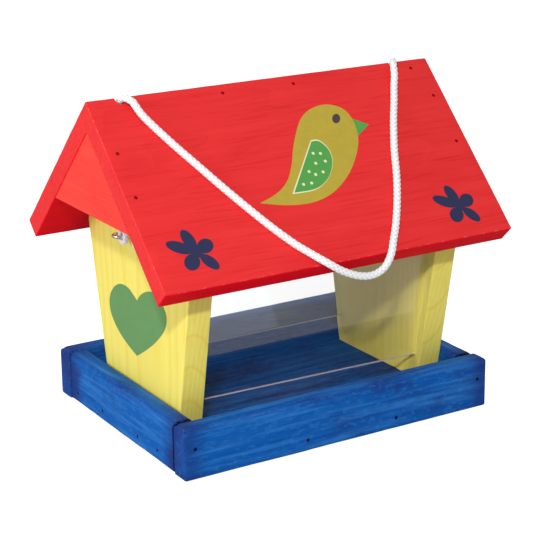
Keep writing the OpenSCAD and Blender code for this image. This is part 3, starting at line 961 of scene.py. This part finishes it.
screws = make("foot_screws", *gather(
    [lathe([(0.45, 3.2), (0.45, 3.9), (0.75, 4.0), (2.8, 2.0), (42, 1.9), (43.5, 0.3)],
           p, (0, 0, 1), 32) for p in screw_seats()]), [BRIGHT], 40)
# a cross recess, whose two slots narrow upwards
cross = []
for px, py, _ in screw_seats():
    for wide, deep in ((0.55, 2.4), (2.4, 0.55)):
        pts = [(px + sx * wide * k, py + sy * deep * k, h)
               for h, k in ((-0.2, 1), (2.4, 0.45)) for sx, sy in
               ((-1, -1), (1, -1), (1, 1), (-1, 1))]
        cross.append((pts, [(3, 2, 1, 0), (4, 5, 6, 7), (0, 1, 5, 4), (1, 2, 6, 5),
                            (2, 3, 7, 6), (3, 0, 4, 7)]))
cut(screws, cross[::2], STEEL)
cut(screws, cross[1::2], STEEL)
piece(screws, "house", "steel", "side_screws")


def screw_eye(name, face, out, node):
    """One bent wire: out of the board and round in a ring that almost closes."""
    cx = face + out * EYE_OUT
    route = [(face - out * 12, EYE_Y, EYE_Z), (face - out * 5, EYE_Y, EYE_Z),
             (face + out * 0.3, EYE_Y, EYE_Z)]
    for a in np.radians(np.linspace(14, 338, 25)):
        route.append((cx - out * EYE_R * math.cos(a), EYE_Y + EYE_R * math.sin(a), EYE_Z))
    path, run = smooth_path(route, 0.5)
    total = run[-1]
    wire_r, thread_deep, thread_pitch, threaded = 1.4, 0.16, 1.6, 11

    def radius(ang, at):
        turned = 0.5 + 0.5 * np.cos(ang - 2 * math.pi * at / thread_pitch)
        r = wire_r - thread_deep * turned * (at < threaded)
        return r * (1 if total - at > 0.6 else 0.75 + 0.4 * (total - at)) * np.ones_like(ang)

    obj = make(name, *tube(path, run, 24, radius), [BRIGHT], 60)
    return piece(obj, "house", "bright_steel", node)


screw_eye("left_eye_wire", LEFT_OUT, -1, "left_screw_eye")
screw_eye("right_eye_wire", RIGHT_OUT, 1, "right_screw_eye")


# ---------------------------------------------------------- painted motifs
def ellipse(cx, cy, rx, ry, turn=0.0, n=40):
    a = np.linspace(0, 2 * math.pi, n, endpoint=False)
    c, s = math.cos(turn), math.sin(turn)
    return [(cx + rx * math.cos(t) * c - ry * math.sin(t) * s,
             cy + rx * math.cos(t) * s + ry * math.sin(t) * c) for t in a]


def film(name, outlines, place, high, material, body, slot):
    """Thin closed plates of paint on a face: outlines in that face's directions,
    standing high above it."""
    points, faces = [], []
    for line in outlines:
        area = sum(a[0] * b[1] - a[1] * b[0] for a, b in zip(line, list(line[1:]) + [line[0]]))
        line = list(line) if area > 0 else list(line)[::-1]
        n, base = len(line), len(points)
        points += [place(u, v, -0.15) for u, v in line]
        points += [place(u, v, high) for u, v in line]
        faces.append(tuple(base + k for k in reversed(range(n))))
        faces.append(tuple(base + n + k for k in range(n)))
        for k in range(n):
            j = (k + 1) % n
            faces.append((base + k, base + j, base + n + j, base + n + k))
    obj = make(name, points, faces, [material], 20)
    bm = bmesh.new()
    bm.from_mesh(obj.data)
    bmesh.ops.triangulate(bm, faces=[f for f in bm.faces if len(f.verts) > 4])
    bm.to_mesh(obj.data)
    bm.free()
    return piece(obj, body, slot)


def roof_film(name, outlines, high, material, slot):
    """Paint on the front panel. Outlines are in x along the ridge and s down the slope."""
    upright = [[(x, -s) for x, s in line] for line in outlines]
    return film(name, upright, lambda u, v, h: on_roof(u, -v, h), high, material, "roof", slot)


OLIVE = paint_film("olive_paint", (0.455, 0.35, 0.043), ON_FRONT, 0.10)
LEAF = paint_film("leaf_green_paint", (0.085, 0.335, 0.068), ON_FRONT, 0.07)
NAVY = paint_film("navy_paint", (0.026, 0.030, 0.082), ON_FRONT, 0.12, (0.10, 0.01, 0.04))
CREAM = paint_film("cream_paint", (0.78, 0.74, 0.52), ON_FRONT, 0.06)
EYE = paint_film("eye_paint", (0.07, 0.052, 0.055), ON_FRONT, 0.1)
SAGE = paint_film("sage_paint", (0.126, 0.285, 0.102), ALONG_Z, 0.15, (0.2, 0.3, 0.06))

bird = through([(-46, 96), (-31, 91), (-19, 83), (-10, 71), (-4, 60), (4, 47.5), (13.5, 36),
                (25, 29.5), (38, 28), (49, 33), (53, 43), (51, 57), (43, 71), (29, 86),
                (12, 97), (-6, 102), (-26, 101), (-46, 96)])[:-1]
wing = [(-17.5, 92.5), (13, 55.5)] + through(
    [(13, 55.5), (19, 56.5), (23, 64), (22, 73), (16, 82.5), (8, 89), (-2, 92.5),
     (-17.5, 92.5)])[1:-1]
beak = [(52.5, 42), (64, 49), (51.5, 56.5)]
cx, cy = np.mean(wing, axis=0)
rim = [(cx + (x - cx) * 1.06 - 0.2, cy + (y - cy) * 1.05) for x, y in wing]
dots = [(10, 65), (15.5, 66), (8.5, 73), (16.5, 72.5), (0.5, 78.5), (4.5, 81.5), (11, 80.5),
        (-8, 87.5), (-1.5, 87.5)]
roof_film("bird_beak_paint", [beak], 0.08, LEAF, "leaf_green_paint")
roof_film("bird_body_paint", [bird], 0.12, OLIVE, "olive_paint")
roof_film("bird_wing_rim_paint", [rim], 0.16, CREAM, "cream_paint")
roof_film("bird_wing_paint", [wing], 0.20, LEAF, "leaf_green_paint")
roof_film("bird_dots_paint", [ellipse(x, y, 1.15, 1.15, n=16) for x, y in dots], 0.24, CREAM,
          "cream_paint")
roof_film("bird_eye_paint", [ellipse(40.45, 40.45, 4.35, 2.9, 2.295)], 0.16, EYE,
          "navy_paint")

# each petal's direction in degrees, length and half width
PETALS = [(-103, 18.5, 4.3), (-151, 21.5, 4.3), (-28, 14.5, 5.0), (53, 17, 4.1),
          (137, 15, 5.2)]
MIDDLE_R = 3.4


def flower(cx, cy):
    """The outline of five oval petals, as seen from the middle."""
    out = []
    for k in range(200):
        a = 2 * math.pi * k / 200
        far = MIDDLE_R
        for turn, long, half in PETALS:
            b = a - math.radians(turn)
            mid, rx = long * 0.57, long * 0.43
            # where a ray from the middle leaves the petal's ellipse
            p, q = math.cos(b) / rx, math.sin(b) / half
            A, B, C = p * p + q * q, -p * mid / rx, (mid / rx) ** 2 - 1
            D = B * B - A * C
            if D > 0:
                far = max(far, (-B + math.sqrt(D)) / A)
        out.append((cx + far * math.cos(a), cy + far * math.sin(a)))
    return out


roof_film("flower_paint", [flower(-104.5, 123.5), flower(105.0, 125.0)], 0.12, NAVY,
          "navy_paint")

notch, tip = (-2.8, 97.6), (-6, 55.8)
heart = through([notch, (3.3, 103.5), (13.7, 108.7), (24.5, 110), (34.3, 105.7), (40.6, 98.2),
                 (37.5, 88), (24.6, 75.7), (9.4, 65), tip], 6)[:-1]
heart += through([tip, (-18, 59.5), (-33, 66), (-44.5, 76), (-46.4, 87.2), (-39.9, 96.7),
                  (-29.1, 102.7), (-17.3, 103.6), (-9.1, 100.8), notch], 6)[:-1]
film("heart_paint", [heart], lambda u, v, h: (LEFT_OUT - h, -u, v), 0.12, SAGE, "house",
     "sage_paint")

# ------------------------------------------------------------- studio light
def seen(tree, *kinds):
    """1 where a ray that meets this comes from the camera or is of one of kinds, and 0
    where it only lights something."""
    path = tree.nodes.new("ShaderNodeLightPath")
    value = path.outputs["Is Camera Ray"]
    for kind in kinds:
        most = tree.nodes.new("ShaderNodeMath")
        most.operation = "MAXIMUM"
        tree.links.new(value, most.inputs[0])
        tree.links.new(path.outputs[kind], most.inputs[1])
        value = most.outputs[0]
    return value


ground = Shader("studio_floor")
paper = ground.mix(ground.noise(ground.place, 3.0), (0.63, 0.63, 0.63), (0.65, 0.65, 0.65))
path = ground.add("LightPath").outputs
# polish and glass mirror a darker floor than the one that lights the house
mirrored = ground.calc("SUBTRACT", path["Is Glossy Ray"], path["Is Transmission Ray"])
mirrored = ground.calc("MULTIPLY", ground.calc("MAXIMUM", mirrored), 0.5)
paper = ground.mix(mirrored, paper, (0, 0, 0))
bright = ground.calc("MULTIPLY", seen(ground.tree, "Is Transmission Ray"), 0.8)
ground = ground.done({
    "Base Color": paper, "Roughness": 0.9, "Specular IOR Level": 0.0,
    "Emission Color": (1, 1, 1, 1), "Emission Strength": bright})
ground.cycles.emission_sampling = "NONE"
bpy.ops.mesh.primitive_circle_add(vertices=96, radius=12, fill_type="NGON",
                                  location=(0, 0, -0.0004))
studio = bpy.context.object
studio.name = "studio_floor"
studio.data.materials.append(ground)

world = bpy.data.worlds.new("studio")
world.use_nodes = True
scene.world = world
# the sky is 0.5 strong where it only lights, and 1.1 where it is looked at
sky = world.node_tree.nodes["Background"]
sky.inputs[0].default_value = (1, 1, 1, 1)
level = world.node_tree.nodes.new("ShaderNodeMapRange")
level.inputs[3].default_value, level.inputs[4].default_value = 0.5, 1.1
looked_at = seen(world.node_tree, "Is Transmission Ray", "Is Singular Ray")
world.node_tree.links.new(looked_at, level.inputs[0])
world.node_tree.links.new(level.outputs[0], sky.inputs[1])


def lamp(name, direction, distance, size, power):
    """An area light on the line from the house towards direction."""
    data = bpy.data.lights.new(name, "AREA")
    data.size, data.energy = size, power
    obj = link(bpy.data.objects.new(name, data))
    d = Vector(direction).normalized()
    obj.location = Vector((0, 0, 0.11)) + d * distance
    obj.rotation_euler = d.to_track_quat("Z", "Y").to_euler()


lamp("key", (-0.488, -0.707, 0.512), 1.8, 0.09, 18.3)
lamp("left", (-0.95, 0.1, 0.35), 1.6, 0.5, 10)
